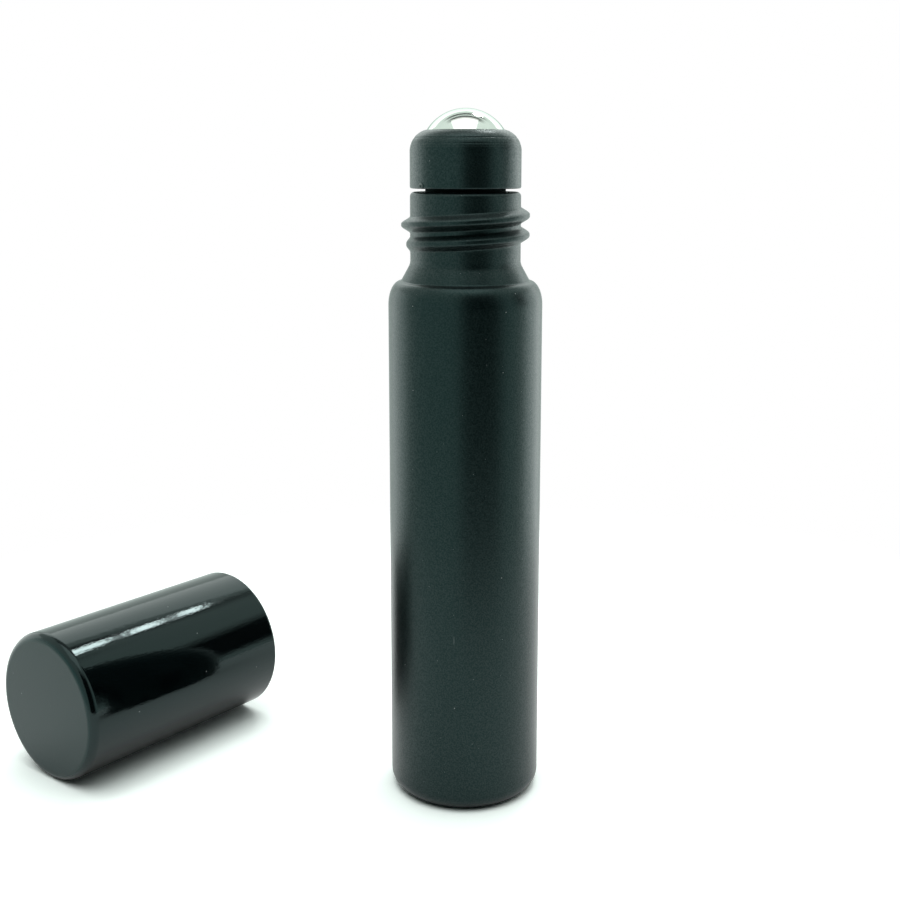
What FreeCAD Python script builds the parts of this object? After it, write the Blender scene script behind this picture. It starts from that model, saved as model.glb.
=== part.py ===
import FreeCAD, Part
import math
import os

os.makedirs("parts", exist_ok=True)

# Glass bottle, outside
body_dia = 17.0
body_height = 58.8
heel_round = 1.8
foot_width = 1.3
punt_rise = 0.9
shoulder_drop = 2.6
shoulder_step = 1.35
flare_rise = 1.9
neck_dia = 12.12
neck_length = 7.8
lip_round = 0.5

# Glass bottle, inside
wall = 1.4
floor_thickness = 2.2
inner_heel = 2.4
inner_shoulder_drop = 3.0
roof_thickness = 1.3
bore_dia = 8.9
bore_edge = 0.3

# Screw thread, right-handed, measured on the ridge's crest
thread_pitch = 2.117
thread_depth = 0.98
thread_width = 2.1
thread_root = 0.1
thread_back = 0.35
thread_drop = 2.52
thread_drop_angle = 38.0
thread_top_angle = 223.0
thread_turns = 2.57
thread_run_in = 0.39
thread_run_out = 1.14

# Roller ball and its housing
ball_dia = 10.0
ball_clearance = 0.06
ball_proud = 2.24
collar_dia = 12.14
collar_gap = 0.37
collar_height = 6.33
collar_round = 2.35
collar_edge = 0.2
plug_clearance = 0.05
plug_length = 6.4
plug_taper = 0.5
plug_wall = 1.1
rib_height = 0.5
rib_fit = 0.01
seat_web = 0.9
feed_dia = 5.2

# Cap, measured from its open rim
cap_length = 28.5
shell_wall = 0.7
shell_end = 0.9
shell_edge = 1.0
rim_edge = 0.35
rim_drop = 0.7
insert_recess = 1.0
insert_wall = 0.925
insert_fit = 0.02
insert_edge = 0.25
web_thickness = 1.2
ceiling_gap = 0.6
press_ring_dia = 4.4
press_ring_wall = 0.8
press_gap = 0.05
thread_clearance = 0.2
cap_thread_turns = 1.4
cap_thread_run = 0.2
cap_thread_width = 1.1

# Where the cap lies beside the bottle, its axis along Y and its open rim to +Y
cap_place_x = -38.0
cap_place_y = -2.2

# Shares and counts
rib_shares = (0.3, 0.55, 0.8)
crest_share = 0.1
ridge_shares = (-1.0, -0.85, -0.7, -0.5, -0.25, 0.0, 0.25, 0.5, 0.7, 0.85, 1.0)
samples_per_turn = 20

# Sizes that follow from the ones above
body_r = body_dia / 2
inner_r = body_r - wall
neck_r = neck_dia / 2
bore_r = bore_dia / 2
flare_r = body_r - shoulder_step
lip_height = body_height + flare_rise + neck_length
thread_top = lip_height - thread_drop + thread_pitch * (thread_top_angle - thread_drop_angle) / 360
ball_r = ball_dia / 2
socket_r = ball_r + ball_clearance
collar_r = collar_dia / 2
collar_foot = lip_height + collar_gap
collar_top = collar_foot + collar_height
ball_height = collar_top + ball_proud - ball_r
plug_r = bore_r - plug_clearance
rim_height = body_height - rim_drop
insert_bore_r = neck_r + thread_depth + thread_clearance
insert_r = insert_bore_r + insert_wall
shell_bore_r = insert_r + insert_fit
cap_r = shell_bore_r + shell_wall
press_ring_r = press_ring_dia / 2

UP = FreeCAD.Vector(0, 0, 1)
FOOT = FreeCAD.Vector(0, 0, 0)


def at(radius, height):
    """Point of a turned outline, in the XZ plane."""
    return FreeCAD.Vector(radius, 0, height)


def arc(centre_r, centre_z, radius, start, end):
    """Circular arc of an outline between two angles in degrees, 0 pointing outwards and 90 up."""
    points = []
    for angle in (start, (start + end) / 2, end):
        turn = math.radians(angle)
        points.append(at(centre_r + radius * math.cos(turn), centre_z + radius * math.sin(turn)))
    return Part.Arc(*points).toShape()


def quarter(centre_r, centre_z, across, up):
    """Quarter ellipse of an outline, from straight out of its centre to straight above it."""
    ends = [at(centre_r + across, centre_z), at(centre_r, centre_z + up)]
    if up > across:
        ends.reverse()
    ellipse = Part.Ellipse(*ends, at(centre_r, centre_z))
    return Part.ArcOfEllipse(ellipse, 0, math.pi / 2).toShape()


def turned(start, *outline):
    """Solid turned round Z from a closed outline of points and curves, joined in order by straight lines."""
    edges = []
    here = start
    for item in (*outline, start):
        curved = isinstance(item, Part.Shape)
        ends = [vertex.Point for vertex in item.Vertexes] if curved else [item]
        ends.sort(key=here.distanceToPoint)
        if not here.isEqual(ends[0], Part.Precision.confusion()):
            edges.append(Part.makeLine(here, ends[0]))
        if curved:
            edges.append(item)
        here = ends[-1]
    return Part.Face(Part.Wire(edges)).revolve(FOOT, UP, 360)


def eased(share):
    """Smooth step from 0 to 1, level at both ends."""
    share = min(max(share, 0), 1)
    return share * share * (3 - 2 * share)


def ridge(wall_r, side, width, top_height, turns, run_in, run_out):
    """Solid helical ridge on a round wall, outwards for side 1 and inwards for side -1.

    Its front is one surface through a grid of points. Along the ridge they descend a pitch a turn and sink
    under the wall at both ends. Across it they rise to the crest and fall again.
    """
    count = math.ceil(turns * samples_per_turn)
    back_r = wall_r - side * thread_back
    front, back = [], []
    for step in range(count + 1):
        turn = turns * step / count
        angle = math.radians(thread_top_angle - 360 * turn)
        out = FreeCAD.Vector(math.cos(angle), math.sin(angle), 0)
        middle = top_height - thread_pitch * turn
        grown = eased(turn / run_in) * eased((turns - turn) / run_out)
        row = []
        for share in ridge_shares:
            rise = grown * eased((1 - abs(share)) / (1 - crest_share))
            radius = wall_r + side * ((thread_depth + thread_root) * rise - thread_root)
            row.append(out * radius + UP * (middle + share * width / 2))
        front.append(row)
        back.append([out * back_r + UP * (middle + share * width / 2) for share in (-1, 1)])
    surface = Part.BSplineSurface()
    surface.interpolate(front)
    u_first, u_last, v_first, v_last = surface.bounds()
    lower, upper = Part.BSplineCurve(), Part.BSplineCurve()
    lower.interpolate([pair[0] for pair in back])
    upper.interpolate([pair[1] for pair in back])
    sides = [
        (surface.vIso(v_first).toShape(), lower.toShape()),
        (surface.vIso(v_last).toShape(), upper.toShape()),
        (lower.toShape(), upper.toShape()),
        (surface.uIso(u_first).toShape(), Part.makeLine(*back[0])),
        (surface.uIso(u_last).toShape(), Part.makeLine(*back[-1])),
    ]
    faces = Part.makeCompound([surface.toShape(), *(Part.makeRuledSurface(*pair, 1) for pair in sides)])
    faces.sewShape()
    return Part.makeSolid(faces.Shells[0])


def glass_bottle():
    """Moulded glass bottle with a pushed-up foot, a round shoulder, a flared neck and its screw thread."""
    foot_r = body_r - heel_round
    punt_r = foot_r - foot_width
    dome_r = (punt_r * punt_r + punt_rise * punt_rise) / (2 * punt_rise)
    dome_angle = math.degrees(math.acos(punt_r / dome_r))
    floor = punt_rise + floor_thickness
    inner_top = body_height - roof_thickness
    glass = turned(
        at(0, floor),
        at(0, punt_rise),
        arc(0, punt_rise - dome_r, dome_r, 90, dome_angle),
        arc(foot_r, heel_round, heel_round, -90, 0),
        quarter(flare_r, body_height - shoulder_drop, shoulder_step, shoulder_drop),
        at(neck_r, body_height + flare_rise),
        arc(neck_r - lip_round, lip_height - lip_round, lip_round, 0, 90),
        arc(bore_r + bore_edge, lip_height - bore_edge, bore_edge, 90, 180),
        quarter(bore_r, inner_top - inner_shoulder_drop, inner_r - bore_r, inner_shoulder_drop),
        arc(inner_r - inner_heel, floor + inner_heel, inner_heel, 0, -90),
    )
    thread = ridge(neck_r, 1, thread_width, thread_top, thread_turns, thread_run_in, thread_run_out)
    return glass.fuse(thread)


def roller_ball():
    """Plain steel ball, proud of its housing."""
    return Part.makeSphere(ball_r, at(0, ball_height))


def roller_housing():
    """Plastic collar that grips the ball past its middle, over a ribbed plug in the neck.

    The lip is where the collar's round top and the ball's socket, two circles, cross.
    """
    plug_foot = collar_foot - plug_length
    hollow_r = plug_r - plug_wall
    feed_r = feed_dia / 2
    round_r = collar_r - collar_round
    round_height = collar_top - collar_round
    drop = ball_height - round_height
    span = math.hypot(round_r, drop)
    spread = math.acos((collar_round**2 + span**2 - socket_r**2) / (2 * collar_round * span))
    lip = math.atan2(drop, -round_r) % (2 * math.pi) - spread
    lip_r = round_r + collar_round * math.cos(lip)
    lip_rise = round_height + collar_round * math.sin(lip) - ball_height
    feed_angle = math.degrees(math.acos(feed_r / socket_r))
    web_foot = ball_height - socket_r - seat_web
    housing = turned(
        at(feed_r, web_foot),
        at(hollow_r, web_foot),
        at(hollow_r, plug_foot),
        at(plug_r - plug_taper, plug_foot),
        at(plug_r, plug_foot + plug_taper),
        at(plug_r, collar_foot),
        arc(collar_r - collar_edge, collar_foot + collar_edge, collar_edge, -90, 0),
        arc(round_r, round_height, collar_round, 0, math.degrees(lip)),
        arc(0, ball_height, socket_r, math.degrees(math.atan2(lip_rise, lip_r)), -feed_angle),
    )
    for share in rib_shares:
        middle = collar_foot - share * plug_length
        rib = turned(
            at(plug_r - plug_taper, middle - rib_height / 2),
            at(plug_r, middle - rib_height / 2),
            at(bore_r - rib_fit, middle),
            at(plug_r, middle + rib_height / 2),
            at(plug_r - plug_taper, middle + rib_height / 2),
        )
        housing = housing.fuse(rib)
    return housing


def cap_shell():
    """Outer cup of the cap, turned with its open rim at the foot."""
    end = cap_length - shell_end
    return turned(
        at(0, end),
        at(0, cap_length),
        arc(cap_r - shell_edge, cap_length - shell_edge, shell_edge, 90, 0),
        arc(cap_r - rim_edge, rim_edge, rim_edge, 0, -90),
        at(shell_bore_r, 0),
        at(shell_bore_r, end),
    )


def cap_insert():
    """Threaded sleeve inside the shell, with a web whose ring presses the ball on its seat."""
    end = cap_length - shell_end
    ceiling = collar_top + ball_proud + ceiling_gap - rim_height
    web_top = ceiling + web_thickness
    ring_r = press_ring_r + press_ring_wall
    touch = math.sqrt(ball_r * ball_r - press_ring_r * press_ring_r)
    ring_foot = ball_height + touch + press_gap - rim_height
    sleeve = turned(
        at(0, ceiling),
        at(0, web_top),
        at(insert_bore_r, web_top),
        at(insert_bore_r, end),
        at(insert_r, end),
        at(insert_r, insert_recess),
        at(insert_bore_r + insert_edge, insert_recess),
        at(insert_bore_r, insert_recess + insert_edge),
        at(insert_bore_r, ceiling),
        at(ring_r, ceiling),
        at(ring_r, ring_foot),
        at(press_ring_r, ring_foot),
        at(press_ring_r, ceiling),
    )
    top = thread_top - thread_pitch / 2 - rim_height
    thread = ridge(insert_bore_r, -1, cap_thread_width, top, cap_thread_turns, cap_thread_run, cap_thread_run)
    return sleeve.fuse(thread)


def laid_down(shape):
    """Cap piece turned on its side and moved to where the cap lies."""
    shape.rotate(FOOT, FreeCAD.Vector(1, 0, 0), 90)
    shape.translate(FreeCAD.Vector(cap_place_x, cap_place_y, cap_r))
    return shape


pieces = {
    "glass_bottle": glass_bottle(),
    "roller_housing": roller_housing(),
    "roller_ball": roller_ball(),
    "cap_shell": laid_down(cap_shell()),
    "cap_insert": laid_down(cap_insert()),
}
for name, shape in pieces.items():
    shape.exportStep("parts/" + name + ".step")
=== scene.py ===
import math

import bpy
import numpy as np
from mathutils import Matrix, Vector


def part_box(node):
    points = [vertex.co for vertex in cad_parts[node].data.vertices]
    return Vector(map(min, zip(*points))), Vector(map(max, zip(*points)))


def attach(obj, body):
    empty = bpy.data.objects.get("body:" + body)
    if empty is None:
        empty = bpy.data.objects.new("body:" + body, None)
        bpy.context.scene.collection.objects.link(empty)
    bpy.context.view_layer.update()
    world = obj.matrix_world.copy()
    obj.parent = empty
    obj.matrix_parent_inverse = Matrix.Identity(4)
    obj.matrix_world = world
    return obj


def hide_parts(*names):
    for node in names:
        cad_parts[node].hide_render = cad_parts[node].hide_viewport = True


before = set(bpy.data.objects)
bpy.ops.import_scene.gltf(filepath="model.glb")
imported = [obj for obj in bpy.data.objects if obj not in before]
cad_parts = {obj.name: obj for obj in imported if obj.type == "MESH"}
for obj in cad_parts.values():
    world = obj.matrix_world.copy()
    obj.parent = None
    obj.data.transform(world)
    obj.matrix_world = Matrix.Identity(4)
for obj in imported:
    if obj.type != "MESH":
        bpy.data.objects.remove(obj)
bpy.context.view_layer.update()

# Main sizes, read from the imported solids, in metres
glass_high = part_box("glass_bottle")[1]
ball_low, ball_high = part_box("roller_ball")
housing_low, housing_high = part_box("roller_housing")
shell_low, shell_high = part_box("cap_shell")
insert_low, insert_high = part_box("cap_insert")
body_r = glass_high.x
lip_height = glass_high.z
ball_r = (ball_high.z - ball_low.z) / 2
ball_height = (ball_high.z + ball_low.z) / 2
collar_r = housing_high.x
plug_foot = housing_low.z
cap_r = (shell_high.z - shell_low.z) / 2
cap_length = shell_high.y - shell_low.y
cap_axis_x = (shell_high.x + shell_low.x) / 2
cap_axis_z = (shell_high.z + shell_low.z) / 2
cap_rim_y = shell_high.y
insert_r = (insert_high.z - insert_low.z) / 2
insert_rim = shell_high.y - insert_high.y
insert_end = shell_high.y - insert_low.y

# Glass bottle, in metres, with sweeps in degrees
body_height = 0.0588
heel_round = 0.0018
foot_width = 0.0013
punt_rise = 0.0009
shoulder_drop = 0.0026
shoulder_step = 0.00135
shoulder_sweep = 86
flare_rise = 0.0019
neck_r = 0.00606
lip_round = 0.0005
glass_wall = 0.0014
floor_thickness = 0.0022
inner_heel = 0.0024
inner_shoulder_drop = 0.003
inner_shoulder_sweep = 88
roof_thickness = 0.0013
bore_r = 0.00445
bore_edge = 0.0003
crease_ease = 0.00018
flare_ease = 0.0004

# Screw threads
thread_pitch = 0.002117
thread_depth = 0.00098
thread_root = 0.0001
thread_soft = 0.00005
thread_width = 0.0021
thread_top = 0.067068
thread_start = math.radians(223)
thread_turns = 2.57
thread_run_in = 0.39
thread_run_out = 1.14
crest_share = 0.1
cap_thread_width = 0.0011
cap_thread_turns = 1.4
cap_thread_run = 0.2
cap_rim_drop = 0.0007

# Roller housing. A ring line is its angle up the collar's round, in degrees, and its depth
collar_gap = 0.00037
collar_foot = lip_height + collar_gap
collar_top = 0.0752
collar_round = 0.00235
collar_edge = 0.0002
socket_r = 0.00506
plug_r = 0.0044
plug_taper = 0.0005
hollow_r = 0.0033
rib_height = 0.0005
rib_r = 0.00444
rib_shares = (0.8, 0.55, 0.3)
seat_web = 0.0009
feed_r = 0.0026
small_ease = 0.00006
ring_lines = ((37.0, 0.00004), (19.0, 0.00002), (13.0, 0.000015))
ring_line_spread = 1.3
lip_trim = 3
socket_trim = 1.2
gate_angle = math.radians(-103)
gate_height = 0.00028
gate_r = 0.00023
gate_wall = 0.00011
gate_proud = 0.00014
gate_zone = 0.0009
gate_gather = 0.8

# Cap
shell_bore_r = 0.008185
shell_end = 0.0009
shell_edge = 0.001
rim_edge = 0.00035
insert_bore_r = 0.00724
insert_edge = 0.00025
ceiling = 0.01994
web_thickness = 0.0012
press_ring_r = 0.0022
press_ring_wall = 0.0008
press_gap = 0.00005

# Mesh fineness
around = 256
corner_steps = 6
round_steps = 16
heel_steps = 18
shoulder_steps = 24
small_round_steps = 12
bore_edge_steps = 8
rim_steps = 10
neck_steps = 110
cap_thread_steps = 150
collar_round_points = 150
gate_zone_steps = 20
socket_steps = 48
ball_steps = 128
guard = 0.00004
long_edge = 5 * guard
same_point = 1e-9
on_wall = 1e-7


def eased(share):
    """Smooth step: three squares less two cubes of the share, which is held between 0 and 1."""
    share = np.clip(share, 0, 1)
    return share * share * (3 - 2 * share)


def bend(centre_r, centre_z, reach_r, reach_z, start, end, steps=round_steps):
    """Elliptic arc of an outline: its centre plus the reaches times cosine and sine of evenly spaced angles."""
    turn = np.radians(np.linspace(start, end, steps + 1))
    return np.stack([centre_r + reach_r * np.cos(turn), centre_z + reach_z * np.sin(turn)], 1)


def straight(start, end, steps):
    """Straight run of an outline in even steps."""
    return np.linspace(start, end, steps + 1)


def outline(*items):
    """Outline in radius and height, from curves and from corners of three numbers: radius, height, ease.

    A corner becomes a parabola: it leaves the line from the item before it one ease away from the corner,
    and meets the line to the item after it as far away. Each long straight edge then gets a point close to
    both its ends, which keeps the flats flat when the shading is smooth.
    """
    items = [np.atleast_2d(item) for item in items]
    t = np.linspace(0, 1, corner_steps + 1)[:, None]
    runs = []
    for place, item in enumerate(items):
        if item.shape[1] == 2:
            runs.append(item)
            continue
        spot, ease = item[0, :2], item[0, 2]
        back = items[place - 1][-1, :2] - spot
        on = items[(place + 1) % len(items)][0, :2] - spot
        first = spot + back / np.hypot(*back) * ease
        last = spot + on / np.hypot(*on) * ease
        runs.append((1 - t) ** 2 * first + 2 * t * (1 - t) * spot + t**2 * last)
    points = np.concatenate(runs)
    points = points[np.r_[True, np.hypot(*np.diff(points, axis=0).T) > same_point]]
    step = np.diff(points, axis=0)
    length = np.hypot(*step.T)
    long = np.flatnonzero(length > long_edge)
    hold = step[long] / length[long, None] * guard
    extra = np.stack([points[long] + hold, points[long + 1] - hold], 1).reshape(-1, 2)
    return np.insert(points, np.repeat(long + 1, 2), extra, axis=0)


def ridge(angle, height, top, width, turns, run_in, run_out):
    """Height of a helical ridge over its wall.

    Its middle starts at the top and falls one pitch a turn. Across it the height is an eased rise to a flat
    crest and an eased fall, along it an eased run-in and run-out, and where it meets the wall the larger of
    the two is taken softly: half of x plus the root of x squared plus a small square.
    """
    lap = ((thread_start - angle) / (2 * math.pi)) % 1
    laps = lap[..., None] + np.arange(math.ceil(turns) + 1)
    share = np.abs(height[..., None] - top + thread_pitch * laps) / (width / 2)
    grown = eased(laps / run_in) * eased((turns - laps) / run_out)
    rise = (grown * eased((1 - share) / (1 - crest_share))).max(-1)
    over = (thread_depth + thread_root) * rise - thread_root
    return np.where(rise > 0, (over + np.sqrt(over**2 + thread_soft**2)) / 2, 0)


def turned(points, gather_at=0.0, gather=0.0):
    """Angles, radii and heights of an outline turned round its axis, as grids: outline steps by steps round.

    The steps gather near one angle: each turn from there has the gathering share times its sine taken off.
    """
    turn = np.linspace(0, 2 * math.pi, around, endpoint=False)[None, :]
    angle = gather_at + turn - gather * np.sin(turn)
    radius = points[:, :1] + 0 * angle
    height = points[:, 1:] + 0 * angle
    return angle + 0 * radius, radius, height


def standing(angle, radius, height):
    """Points of the standing bottle: the radius times cosine and sine, and the height."""
    return np.stack([radius * np.cos(angle), radius * np.sin(angle), height], -1)


def lying(angle, radius, height):
    """Points of the lying cap: its axis runs along -Y from the rim, so height becomes minus Y and sine Z."""
    across = cap_axis_x + radius * np.cos(angle)
    upright = cap_axis_z + radius * np.sin(angle)
    return np.stack([across, cap_rim_y - height, upright], -1)


def piece(name, grid, finish, body, ring=False):
    """Mesh over a grid of points, closed round its second side, that stands for the solid of the same name.

    A ring is closed along its first side too. Any other grid has its first and last row on the axis, each
    taken as one point with a fan of triangles.
    """
    steps = len(grid)
    here = np.arange(around)
    after = (here + 1) % around
    if ring:
        points = grid.reshape(-1, 3)
        low = np.arange(steps)[:, None] * around
        high = (np.arange(steps)[:, None] + 1) % steps * around
        fans = []
    else:
        points = np.concatenate([grid[1:-1].reshape(-1, 3), grid[0, :1], grid[-1, :1]])
        low = np.arange(steps - 3)[:, None] * around
        high = low + around
        first, last, top = len(points) - 2, len(points) - 1, (steps - 3) * around
        fans = np.concatenate([
            np.stack([np.full(around, first), after, here], 1),
            np.stack([top + here, top + after, np.full(around, last)], 1),
        ]).tolist()
    quads = np.stack([low + here, low + after, high + after, high + here], -1).reshape(-1, 4).tolist()
    mesh = bpy.data.meshes.new(name + "_skin")
    mesh.from_pydata(points, [], quads + fans)
    mesh.polygons.foreach_set("use_smooth", np.ones(len(mesh.polygons), bool))
    mesh.materials.append(finish)
    made = bpy.data.objects.new(name + "_skin", mesh)
    bpy.context.scene.collection.objects.link(made)
    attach(made, body)
    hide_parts(name)


class Value:
    """Shader socket that takes part in Python sums. Each operator adds one Math node."""

    def __init__(self, shade, socket):
        self.shade, self.socket = shade, socket

    def maths(self, operation, first, second=0.0):
        return self.shade.node("ShaderNodeMath", {"operation": operation}, {0: first, 1: second})

    def __add__(self, other):
        return self.maths("ADD", self, other)

    def __sub__(self, other):
        return self.maths("SUBTRACT", self, other)

    def __rsub__(self, other):
        return self.maths("SUBTRACT", other, self)

    def __mul__(self, other):
        return self.maths("MULTIPLY", self, other)

    def __gt__(self, other):
        return self.maths("GREATER_THAN", self, other)

    __radd__ = __add__
    __rmul__ = __mul__

    def size(self):
        """The value without its sign."""
        return self.maths("ABSOLUTE", self)

    def or_more(self, other):
        """The larger of two values."""
        return self.maths("MAXIMUM", self, other)

    def bearing(self, ahead):
        """Angle in degrees whose tangent is this value over the one ahead."""
        return self.maths("ARCTAN2", self, ahead) * (180 / math.pi)

    def between(self, low, high):
        """Eased share of the way from low to high."""
        ends = {0: self, 1: low, 2: high, 3: 0.0, 4: 1.0}
        return self.shade.node("ShaderNodeMapRange", {"interpolation_type": "SMOOTHSTEP"}, ends)

    def within(self, rise, fall):
        """Eased share that rises between the first two values and falls between the other two."""
        return self.between(*rise) * (1 - self.between(*fall))


class Shade:
    """Node tree of a material or world, emptied and ready for nodes."""

    def __init__(self, owner):
        owner.use_nodes = True
        self.tree = owner.node_tree
        self.tree.nodes.clear()

    def node(self, kind, settings, sockets, out=0):
        """New node: its settings are set first, then its sockets get values or links."""
        made = self.tree.nodes.new(kind)
        for key, value in settings.items():
            setattr(made, key, value)
        for key, value in sockets.items():
            if isinstance(value, Value):
                self.tree.links.new(value.socket, made.inputs[key])
            else:
                made.inputs[key].default_value = value
        return Value(self, made.outputs[out]) if made.outputs else None

    def place(self):
        """Object coordinates."""
        return self.node("ShaderNodeTexCoord", {}, {}, "Object")

    def ray(self, kind):
        """1 for a ray of the named kind, and 0 for any other."""
        return self.node("ShaderNodeLightPath", {}, {}, kind)

    def stretched(self, place, scale):
        """Coordinates stretched along the axes."""
        return self.node("ShaderNodeMapping", {}, {0: place, 3: scale})

    def noise(self, place, scale, detail=2.0, warp=0.0):
        """Soft random field from 0 to 1."""
        sockets = {"Vector": place, "Scale": scale, "Detail": detail, "Distortion": warp}
        return self.node("ShaderNodeTexNoise", {}, sockets)

    def along(self, place, direction):
        """How far a place lies along a direction."""
        return self.node("ShaderNodeVectorMath", {"operation": "DOT_PRODUCT"}, {0: place, 1: direction}, 1)

    def mix(self, share, first, second):
        """Colour part of the way from the first to the second."""
        return self.node("ShaderNodeMix", {"data_type": "RGBA"}, {0: share, 6: first, 7: second}, 2)

    def specks(self, place, scale, size, kept):
        """Sparse round specks: near the random point of a cell, in the share of the cells that is kept."""
        texture = {"Vector": place, "Scale": scale, "Randomness": 1.0}
        near = self.node("ShaderNodeTexVoronoi", {}, texture)
        cell = self.node("ShaderNodeTexVoronoi", {}, texture, 1)
        chance = self.along(cell, (1.0, 0.0, 0.0))
        return (1 - near.between(size * 0.5, size)) * (chance > 1 - kept)

    def relief(self, height, strength, distance):
        """Normals of a bumpy surface."""
        return self.node("ShaderNodeBump", {}, {"Strength": strength, "Distance": distance, "Height": height})

    def surface(self, varying, fixed):
        """Principled surface and the tree's output."""
        shader = self.node("ShaderNodeBsdfPrincipled", {}, {**varying, **fixed})
        self.node("ShaderNodeOutputMaterial", {}, {0: shader})


# What the finishes share: axes, the pale tone of dust, and the sheen of the two satin blacks
bottle_axis = (0.0, 0.0, 1.0)
cap_axis = (0.0, 1.0, 0.0)
dust_tone = (0.34, 0.38, 0.37, 1)
grain_scale = 6200.0
mottle_range = (0.34, 0.66)
satin_black = {"IOR": 1.4, "Specular Tint": (0.54, 1.0, 0.97, 1), "Coat IOR": 1.4, "Coat Roughness": 0.3}


def coated_glass():
    """Matte black lacquer on the bottle.

    Spray grain mottles its tone and its gloss, with faint clouding, a few dust specks and lint, and the
    mould's seam as relief. The neck is a little more matte than the body.
    """
    made = bpy.data.materials.new("coated_glass")
    shade = Shade(made)
    place = shade.place()
    grain = shade.noise(place, grain_scale, detail=3.0)
    mottle = grain.between(*mottle_range)
    cloud = shade.noise(place, 150.0, detail=3.0, warp=0.6)
    wave = shade.noise(place, 260.0, detail=1.0)
    dust = shade.specks(place, 620.0, size=0.05, kept=0.45)
    fine_dust = shade.specks(place, 1150.0, size=0.05, kept=0.34)
    lint = shade.specks(shade.stretched(place, (1.0, 0.9, 0.16)), 420.0, size=0.05, kept=0.4)
    seam_plane = shade.along(place, (0.788, 0.616, 0.0))
    off_seam = shade.along(place, (0.616, -0.788, 0.0))
    seam = (1 - off_seam.size().between(0.00003, 0.00011)) * (seam_plane.size() > 0.001)
    neck = shade.along(place, bottle_axis).between(body_height, body_height + flare_rise)
    specks = (dust * 0.8).or_more(lint * 0.12 + fine_dust * 0.5)
    deep_black = (0.0004, 0.0012, 0.0013, 1)
    pale_black = (0.0016, 0.0042, 0.0042, 1)
    tone = shade.mix(mottle * 0.7 + cloud * 0.3, deep_black, pale_black)
    shade.surface(
        {
            "Base Color": shade.mix(specks, tone, dust_tone),
            "Roughness": 0.26 + cloud * 0.05 + mottle * 0.06 + specks * 0.2 + neck * 0.07,
            "Coat Weight": mottle * (0.36 + neck * 0.2),
            "Normal": shade.relief(grain * 0.6 + wave * 0.35 + seam * 0.5, strength=0.3, distance=0.00006),
        },
        satin_black,
    )
    return made


def housing_plastic():
    """Satin moulded plastic of the housing.

    A fine eroded texture mottles its tone and its gloss, with faint turning lines round its axis, dust, and a
    paler gate mark. The plug below the collar is left matte.
    """
    made = bpy.data.materials.new("housing_plastic")
    shade = Shade(made)
    place = shade.place()
    grain = shade.noise(place, grain_scale, detail=3.0)
    mottle = grain.between(*mottle_range)
    cloud = shade.noise(place, 240.0, detail=2.0, warp=0.4)
    lines = shade.noise(shade.stretched(place, (0.02, 0.02, 1.0)), 5200.0, detail=2.0)
    dust = shade.specks(place, 900.0, size=0.055, kept=0.3)
    deep_black = (0.0006, 0.0015, 0.0016, 1)
    pale_black = (0.003, 0.0074, 0.0072, 1)
    scar_grey = (0.15, 0.17, 0.16, 1)
    tone = shade.mix(mottle * 0.6 + cloud * 0.4, deep_black, pale_black)
    plug = 1 - shade.along(place, bottle_axis).between(collar_foot - small_ease, collar_foot)
    gate_x, gate_y = collar_r * math.cos(gate_angle), collar_r * math.sin(gate_angle)
    gate_spot = (gate_x, gate_y, collar_foot + gate_height)
    from_gate = shade.node("ShaderNodeVectorMath", {"operation": "DISTANCE"}, {0: place, 1: gate_spot}, 1)
    scar = 1 - (from_gate - gate_r).size().between(gate_wall * 0.4, gate_wall * 1.4)
    tone = shade.mix(scar, tone, scar_grey)
    shade.surface(
        {
            "Base Color": shade.mix(dust * 0.7, tone, dust_tone),
            "Roughness": 0.28 + cloud * 0.06 + lines * 0.06 + plug * 0.6,
            "Coat Weight": mottle * 0.5 * (1 - plug),
            "Normal": shade.relief(grain * 0.6 + lines * 0.6, strength=0.25, distance=0.00005),
        },
        satin_black,
    )
    return made


def ball_steel():
    """Polished steel: faint smears in the polish and hairline marks of rolling."""
    made = bpy.data.materials.new("ball_steel")
    shade = Shade(made)
    place = shade.place()
    smear = shade.noise(place, 420.0, detail=3.0, warp=1.2)
    hairs = shade.noise(shade.stretched(place, (1.0, 0.06, 0.5)), 6000.0, detail=2.0)
    dull_steel = (0.69, 0.72, 0.67, 1)
    bright_steel = (0.8, 0.82, 0.77, 1)
    shade.surface(
        {
            "Base Color": shade.mix(smear, dull_steel, bright_steel),
            "Roughness": 0.05 + smear * 0.05 + hairs * 0.03,
            "Normal": shade.relief(hairs, strength=0.04, distance=0.00002),
        },
        {"Metallic": 1.0, "Specular Tint": (0.58, 0.64, 0.61, 1)},
    )
    return made


def cap_gloss():
    """High gloss black: hairlines along the cap, a rippled skin that breaks up highlights, and a satin end with a
    painted sheen.
    """
    made = bpy.data.materials.new("cap_gloss")
    shade = Shade(made)
    place = shade.place()
    hairs = shade.noise(shade.stretched(place, (1.0, 0.05, 1.0)), 5200.0, detail=3.0)
    ripple = shade.noise(shade.stretched(place, (1.0, 0.25, 1.0)), 4500.0, detail=2.0)
    cloud = shade.noise(place, 180.0, detail=3.0, warp=0.5)
    dust = shade.specks(place, 520.0, size=0.05, kept=0.3)
    length = shade.along(place, cap_axis)
    end = 1 - length.between(shell_low.y + shell_edge * 0.03, shell_low.y + shell_edge * 0.25)
    deep_black = (0.0003, 0.0007, 0.001, 1)
    pale_black = (0.0008, 0.0016, 0.0019, 1)
    # The end's paler, greener base colour is painted sheen: it stands in for the tinted light that the satin end
    # reflects
    end_painted_sheen = (0.0004, 0.01, 0.009, 1)
    tone = shade.mix(cloud, deep_black, pale_black)
    tone = shade.mix(end, tone, end_painted_sheen)
    shade.surface(
        {
            "Base Color": shade.mix(dust * 0.5, tone, dust_tone),
            "Roughness": 0.035 + cloud * 0.02 + hairs * 0.03 + end * 0.24,
            "Normal": shade.relief(hairs * 0.5 + ripple * 0.8, strength=0.4, distance=0.00002),
        },
        {"IOR": 1.45, "Specular Tint": (0.72, 1.0, 0.99, 1)},
    )
    return made


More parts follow.
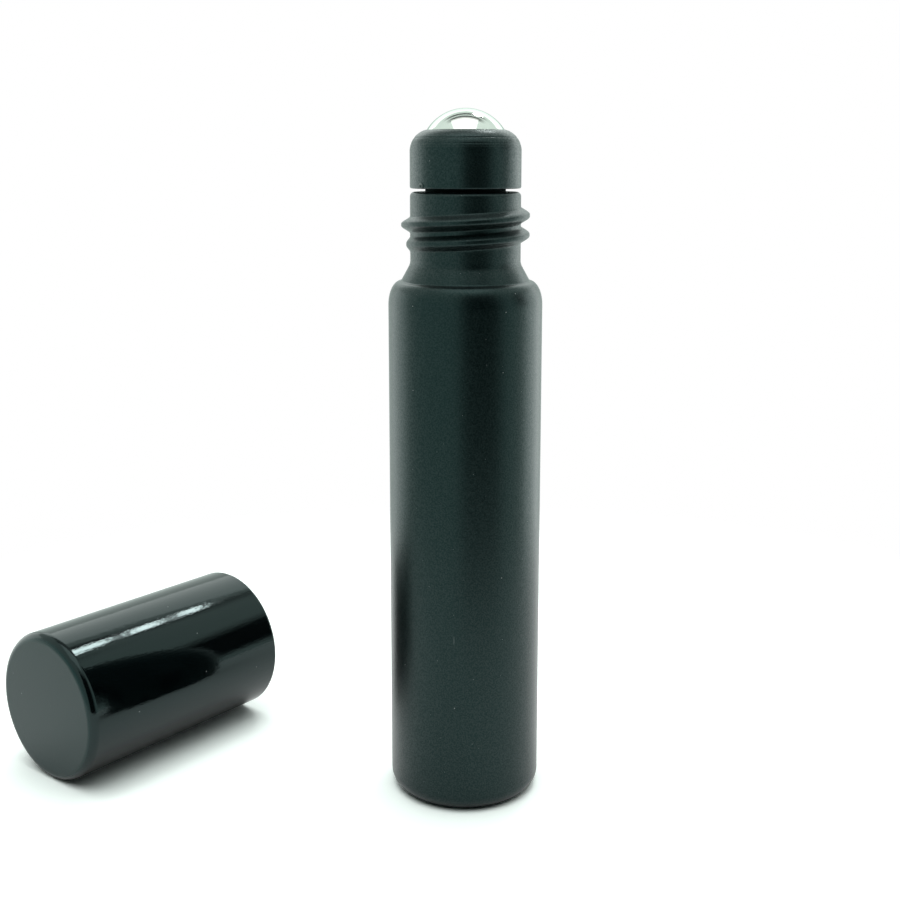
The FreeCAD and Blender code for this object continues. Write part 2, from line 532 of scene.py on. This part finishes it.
def insert_plastic():
    """Satin moulded plastic of the cap's inside: fine texture and faint flow marks along it."""
    made = bpy.data.materials.new("insert_plastic")
    shade = Shade(made)
    place = shade.place()
    grain = shade.noise(place, 3600.0, detail=3.0)
    flow = shade.noise(shade.stretched(place, (1.0, 0.15, 1.0)), 900.0, detail=3.0, warp=0.5)
    deep_black = (0.006, 0.008, 0.008, 1)
    pale_black = (0.012, 0.015, 0.015, 1)
    shade.surface(
        {
            "Base Color": shade.mix(flow, deep_black, pale_black),
            "Roughness": 0.38 + flow * 0.1,
            "Normal": shade.relief(grain * 0.5 + flow * 0.5, strength=0.15, distance=0.00005),
        },
        {"IOR": 1.5},
    )
    return made


def glass_bottle():
    """Bottle: one outline from the middle of the foot round the outside, over the lip, to the floor inside.

    The foot is a shallow dome, the heel and shoulder are elliptic arcs, and the neck's wall carries the ridge.
    """
    foot_r = body_r - heel_round
    punt_r = foot_r - foot_width
    dome_r = (punt_r**2 + punt_rise**2) / (2 * punt_rise)
    dome_angle = math.degrees(math.acos(punt_r / dome_r))
    flare_r = body_r - shoulder_step
    flare_top = body_height + flare_rise
    shoulder_foot = body_height - shoulder_drop
    inner_r = body_r - glass_wall
    inside_floor = punt_rise + floor_thickness
    inner_top = body_height - roof_thickness
    inner_shoulder_foot = inner_top - inner_shoulder_drop
    inner_heel_r, inner_heel_z = inner_r - inner_heel, inside_floor + inner_heel
    lip_z, bore_z = lip_height - lip_round, lip_height - bore_edge
    points = outline(
        bend(0, punt_rise - dome_r, dome_r, dome_r, 90, dome_angle),
        (punt_r, 0, small_ease),
        bend(foot_r, heel_round, heel_round, heel_round, -90, 0, heel_steps),
        bend(flare_r, shoulder_foot, shoulder_step, shoulder_drop, 0, shoulder_sweep, shoulder_steps),
        (flare_r - crease_ease / 4, body_height, crease_ease),
        (neck_r, flare_top, flare_ease),
        straight((neck_r, flare_top + flare_ease), (neck_r, lip_z), neck_steps),
        bend(neck_r - lip_round, lip_z, lip_round, lip_round, 0, 90, small_round_steps),
        bend(bore_r + bore_edge, bore_z, bore_edge, bore_edge, 90, 180, bore_edge_steps),
        (bore_r, inner_top, small_ease),
        bend(bore_r, inner_shoulder_foot, inner_r - bore_r, inner_shoulder_drop,
             inner_shoulder_sweep, 0, small_round_steps),
        bend(inner_heel_r, inner_heel_z, inner_heel, inner_heel, 0, -90, small_round_steps),
        (0, inside_floor),
    )
    angle, radius, height = turned(points)
    outside = (np.abs(radius - neck_r) < on_wall) & (height > flare_top)
    rise = ridge(angle, height, thread_top, thread_width, thread_turns, thread_run_in, thread_run_out)
    radius = radius + np.where(outside, rise, 0)
    return standing(angle, radius, height)


def roller_ball():
    """Ball: a half circle of radius and height turned round the bottle's axis."""
    points = bend(0, ball_height, ball_r, ball_r, -90, 90, ball_steps)
    points[[0, -1], 0] = 0
    return standing(*turned(points))


def roller_housing():
    """Housing: a closed outline through the collar's round top, the ball's socket, the feed hole and the plug.

    The round meets the socket where two circles cross, found by the law of cosines. The ring lines are small
    bell-shaped dips of the collar's round, and the plug's ribs are low triangles. The gate mark is a small ring
    low on the collar's wall: its height is a bell over the distance from the ring's line.
    """
    round_r = collar_r - collar_round
    round_height = collar_top - collar_round
    drop = ball_height - round_height
    span = math.hypot(round_r, drop)
    spread = math.acos((collar_round**2 + span**2 - socket_r**2) / (2 * collar_round * span))
    lip_turn = math.atan2(drop, -round_r) % (2 * math.pi) - spread
    lip_r = round_r + collar_round * math.cos(lip_turn)
    lip_z = round_height + collar_round * math.sin(lip_turn)
    turn = np.linspace(0, math.degrees(lip_turn) - lip_trim, collar_round_points)
    dips = sum(depth * np.exp(-(((turn - middle) / ring_line_spread) ** 2)) for middle, depth in ring_lines)
    reach = collar_round - dips
    top_r = round_r + reach * np.cos(np.radians(turn))
    top_z = round_height + reach * np.sin(np.radians(turn))
    socket_start = math.degrees(math.atan2(lip_z - ball_height, lip_r)) - socket_trim
    feed_turn = math.degrees(math.acos(feed_r / socket_r))
    web_foot = ball_height - socket_r - seat_web
    rib_middles = [collar_foot - share * (collar_foot - plug_foot) for share in rib_shares]
    ribs = [
        corner
        for middle in rib_middles
        for corner in (
            (plug_r, middle - rib_height / 2, small_ease),
            (rib_r, middle, small_ease),
            (plug_r, middle + rib_height / 2, small_ease),
        )
    ]
    edge_r, edge_z = collar_r - collar_edge, collar_foot + collar_edge
    points = outline(
        (feed_r, web_foot, small_ease),
        (hollow_r, web_foot, small_ease),
        (hollow_r, plug_foot, small_ease),
        (plug_r - plug_taper, plug_foot, small_ease),
        (plug_r, plug_foot + plug_taper, small_ease),
        *ribs,
        (plug_r, collar_foot, small_ease),
        bend(edge_r, edge_z, collar_edge, collar_edge, -90, 0, rim_steps),
        straight((collar_r, edge_z), (collar_r, collar_foot + gate_zone), gate_zone_steps),
        np.stack([top_r, top_z], 1),
        (lip_r, lip_z, small_ease),
        bend(0, ball_height, socket_r, socket_r, socket_start, -feed_turn, socket_steps),
    )
    angle, radius, height = turned(points, gate_angle, gate_gather)
    aside = ((angle - gate_angle + math.pi) % (2 * math.pi) - math.pi) * collar_r
    off_ring = np.hypot(aside, height - collar_foot - gate_height) - gate_r
    mark = gate_proud * np.exp(-((off_ring / gate_wall) ** 2))
    radius = radius + np.where(radius > edge_r, mark, 0)
    return standing(angle, radius, height)


def cap_shell():
    """Cap's shell: an outline from the middle of the inside end, down the bore and round the rim to the end."""
    end = cap_length - shell_end
    points = outline(
        (0, end),
        (shell_bore_r, end, small_ease),
        (shell_bore_r, 0, small_ease),
        bend(cap_r - rim_edge, rim_edge, rim_edge, rim_edge, -90, 0, rim_steps),
        bend(cap_r - shell_edge, cap_length - shell_edge, shell_edge, shell_edge, 0, 90),
        (0, cap_length),
    )
    return lying(*turned(points))


def cap_insert():
    """Cap's insert: an outline from the middle of the ceiling round the pressing ring, the bore and the sleeve.

    The ring's foot is where it meets the ball of the closed bottle. The bore's wall carries the ridge inwards.
    """
    web_top = ceiling + web_thickness
    ring_r = press_ring_r + press_ring_wall
    rim_height = body_height - cap_rim_drop
    touch = math.sqrt(ball_r**2 - press_ring_r**2)
    ring_foot = ball_height + touch + press_gap - rim_height
    wall_top, wall_foot = ceiling - 3 * small_ease, insert_rim + 2 * insert_edge
    points = outline(
        (0, ceiling),
        (press_ring_r, ceiling, small_ease),
        (press_ring_r, ring_foot, small_ease),
        (ring_r, ring_foot, small_ease),
        (ring_r, ceiling, small_ease),
        (insert_bore_r, ceiling, small_ease),
        straight((insert_bore_r, wall_top), (insert_bore_r, wall_foot), cap_thread_steps),
        (insert_bore_r, insert_rim + insert_edge, small_ease),
        (insert_bore_r + insert_edge, insert_rim, small_ease),
        (insert_r, insert_rim, small_ease),
        (insert_r, insert_end, small_ease),
        (insert_bore_r, insert_end, small_ease),
        (insert_bore_r, web_top, small_ease),
        (0, web_top),
    )
    angle, radius, height = turned(points)
    inside = (np.abs(radius - insert_bore_r) < on_wall) & (height < ceiling)
    top = thread_top - thread_pitch / 2 - rim_height
    rise = ridge(angle, height, top, cap_thread_width, cap_thread_turns, cap_thread_run, cap_thread_run)
    radius = radius - np.where(inside, rise, 0)
    return lying(angle, radius, height)


piece("glass_bottle", glass_bottle(), coated_glass(), "bottle")
piece("roller_housing", roller_housing(), housing_plastic(), "bottle", ring=True)
piece("roller_ball", roller_ball(), ball_steel(), "ball")
piece("cap_shell", cap_shell(), cap_gloss(), "cap")
piece("cap_insert", cap_insert(), insert_plastic(), "cap")

# Camera at the photograph's viewing angle
camera_place = (0.084599, -0.109847, 0.072)
camera_heading = math.radians(38.301)
camera_down = math.radians(9.864)
camera_lens = 50.359
camera_sensor = 36.0
camera_shift = -0.08
camera_near = 0.001
scene = bpy.context.scene
camera = bpy.data.cameras.new("camera")
camera.sensor_width = camera_sensor
camera.lens = camera_lens
camera.shift_y = camera_shift
camera.clip_start = camera_near
camera_spot = bpy.data.objects.new("camera", camera)
camera_spot.location = camera_place
camera_spot.rotation_euler = (math.pi / 2 - camera_down, 0, camera_heading)
scene.collection.objects.link(camera_spot)
scene.camera = camera_spot
scene.view_settings.view_transform = "Standard"

# Axes of the picture on the floor: to its right and away from the camera
view_turn = math.radians(38)
to_right = np.array([math.cos(view_turn), math.sin(view_turn), 0])
away = np.array([-math.sin(view_turn), math.cos(view_turn), 0])
upward = np.array([0, 0, 1])

# Floor: half its side, where it fades out, and its colour as it lights the object and as it is seen
floor_reach = 0.4
floor_fade = (0.075, 0.12)
floor_grey = (0.88, 0.88, 0.88, 1)
floor_white = (1.12, 1.23, 1.18, 1)
floor_mirrored = 0.3

# Surroundings as they are mirrored: bearings in degrees from the camera's side, heights as sines
near_bearings = ((-12.0, -1.0), (42.0, 68.0))
near_heights = ((-0.37, -0.27), (0.66, 0.86))
beside_bearings = ((78.0, 87.0), (101.0, 110.0))
beside_heights = ((-0.06, 0.1), (0.42, 0.6))
dim_depths = (0.2, -0.4)
dim_heights = ((-0.36, -0.2), (0.3, 0.6))
low_bar, low_bar_ease = 60, (2.0, 5.0)
high_bar, high_bar_ease = 74, (4.0, 8.0)
bar_ends = (0.3, 0.55)
side_dark, bar_dark = 0.97, 0.88
room_tone = (0.87, 1.0, 0.95, 1)
dim_tone = (0.7, 0.9, 0.87, 1)

# Light of the surroundings: the heights over which it rises, and its level overhead
overhead_rise = (0.55, 0.97)
overhead_level = 2.4

# Lamps round the object's middle: one overhead, one behind, one at each side and three window panes,
# each with its place along Y and its depth
middle = np.array([-0.019, -0.011, 0.03])
lamp_reach = 0.5
softbox_place = middle + 0.75 * upward - 0.1 * away
panel_place = middle + lamp_reach * (0.05 * to_right + 0.8 * away + 0.6 * upward)
rim_levels = ((-1, 0.9), (1, 1.3))
window_x, window_z = -0.057, 0.408
window_across = np.array([1, 0, 0])
window_panes = ((0.2165, 0.024), (0.2523, 0.016), (0.2801, 0.012))


def floor():
    """Pale floor: a plain lit sheet round the object that fades into the white surroundings further out."""
    made = bpy.data.materials.new("floor")
    shade = Shade(made)
    place = shade.place()
    far = shade.node("ShaderNodeVectorMath", {"operation": "LENGTH"}, {0: place}, 1).between(*floor_fade)
    seen = shade.ray("Is Camera Ray") + shade.ray("Is Glossy Ray") * floor_mirrored
    seen = seen + shade.ray("Is Transmission Ray")
    tone = shade.mix(seen, floor_grey, floor_white)
    lit = shade.node("ShaderNodeBsdfDiffuse", {}, {0: tone})
    clear = shade.node("ShaderNodeBsdfTransparent", {}, {})
    blend = shade.node("ShaderNodeMixShader", {}, {0: far, 1: lit, 2: clear})
    shade.node("ShaderNodeOutputMaterial", {}, {0: blend})
    sides = ((-1, -1), (1, -1), (1, 1), (-1, 1))
    corners = [(floor_reach * x, floor_reach * y, 0) for x, y in sides]
    mesh = bpy.data.meshes.new("floor")
    mesh.from_pydata(corners, [], [(0, 1, 2, 3)])
    mesh.materials.append(made)
    sheet = bpy.data.objects.new("floor", mesh)
    scene.collection.objects.link(sheet)


def surroundings():
    """White surroundings, which light the object mostly from above.

    Reflections show more of a room: a wide dark side near the camera's right, a narrow one further round, two
    dark bars overhead and a faint green cast. Each is a product of eased shares of the bearing and the height.
    """
    scene.world = bpy.data.worlds.new("surroundings")
    shade = Shade(scene.world)
    direction = shade.node("ShaderNodeTexCoord", {}, {})
    right = shade.along(direction, tuple(to_right))
    back = shade.along(direction, tuple(away))
    up = shade.along(direction, tuple(upward))
    turn = right.bearing(0 - back)
    tilt = up.bearing(back)
    near = turn.within(*near_bearings) * up.within(*near_heights)
    beside = turn.within(*beside_bearings) * up.within(*beside_heights)
    dark = near.or_more(beside)
    dim = back.between(*dim_depths) * up.within(*dim_heights)
    bars = (1 - (tilt - low_bar).size().between(*low_bar_ease)) + (
        1 - (tilt - high_bar).size().between(*high_bar_ease)
    )
    bars = bars * (1 - right.size().between(*bar_ends))
    glossy = shade.ray("Is Glossy Ray")
    seen = glossy + shade.ray("Is Camera Ray") + shade.ray("Is Transmission Ray")
    shown = (1 - glossy * dark * side_dark) * (1 - glossy * bars * bar_dark)
    overhead = up.between(*overhead_rise) * overhead_level
    strength = seen * shown + (1 - seen) * overhead
    tone = shade.mix(glossy, (1, 1, 1, 1), room_tone)
    tone = shade.mix(glossy * dim, tone, dim_tone)
    white = shade.node("ShaderNodeBackground", {}, {0: tone, 1: strength})
    shade.node("ShaderNodeOutputWorld", {}, {0: white})


def lamp(name, place, across, wide, deep, level):
    """Soft lamp at a place, turned to the object's middle, as wide as given across, and of a given brightness."""
    light = bpy.data.lights.new(name, "AREA")
    light.shape = "RECTANGLE"
    light.size, light.size_y = wide, deep
    light.energy = level * math.pi * wide * deep
    made = bpy.data.objects.new(name, light)
    toward = middle - place
    toward = toward / np.linalg.norm(toward)
    side = across - toward * (across @ toward)
    side = side / np.linalg.norm(side)
    turned_to = np.stack([side, np.cross(-toward, side), -toward], 1)
    made.matrix_world = Matrix.Translation(place) @ Matrix(turned_to.tolist()).to_4x4()
    made.visible_camera = False
    scene.collection.objects.link(made)


floor()
surroundings()
lamp("softbox", softbox_place, to_right, wide=0.6, deep=0.6, level=0.8)
lamp("panel", panel_place, to_right, wide=0.8, deep=0.25, level=0.9)
for side, level in rim_levels:
    rim_place = middle + lamp_reach * (0.85 * side * to_right + 0.5 * away - 0.05 * upward)
    lamp("rim", rim_place, upward, wide=0.5, deep=0.4, level=level)
for window_y, deep in window_panes:
    pane_place = np.array([window_x, window_y, window_z])
    lamp("window", pane_place, window_across, wide=0.06, deep=deep, level=20.0)
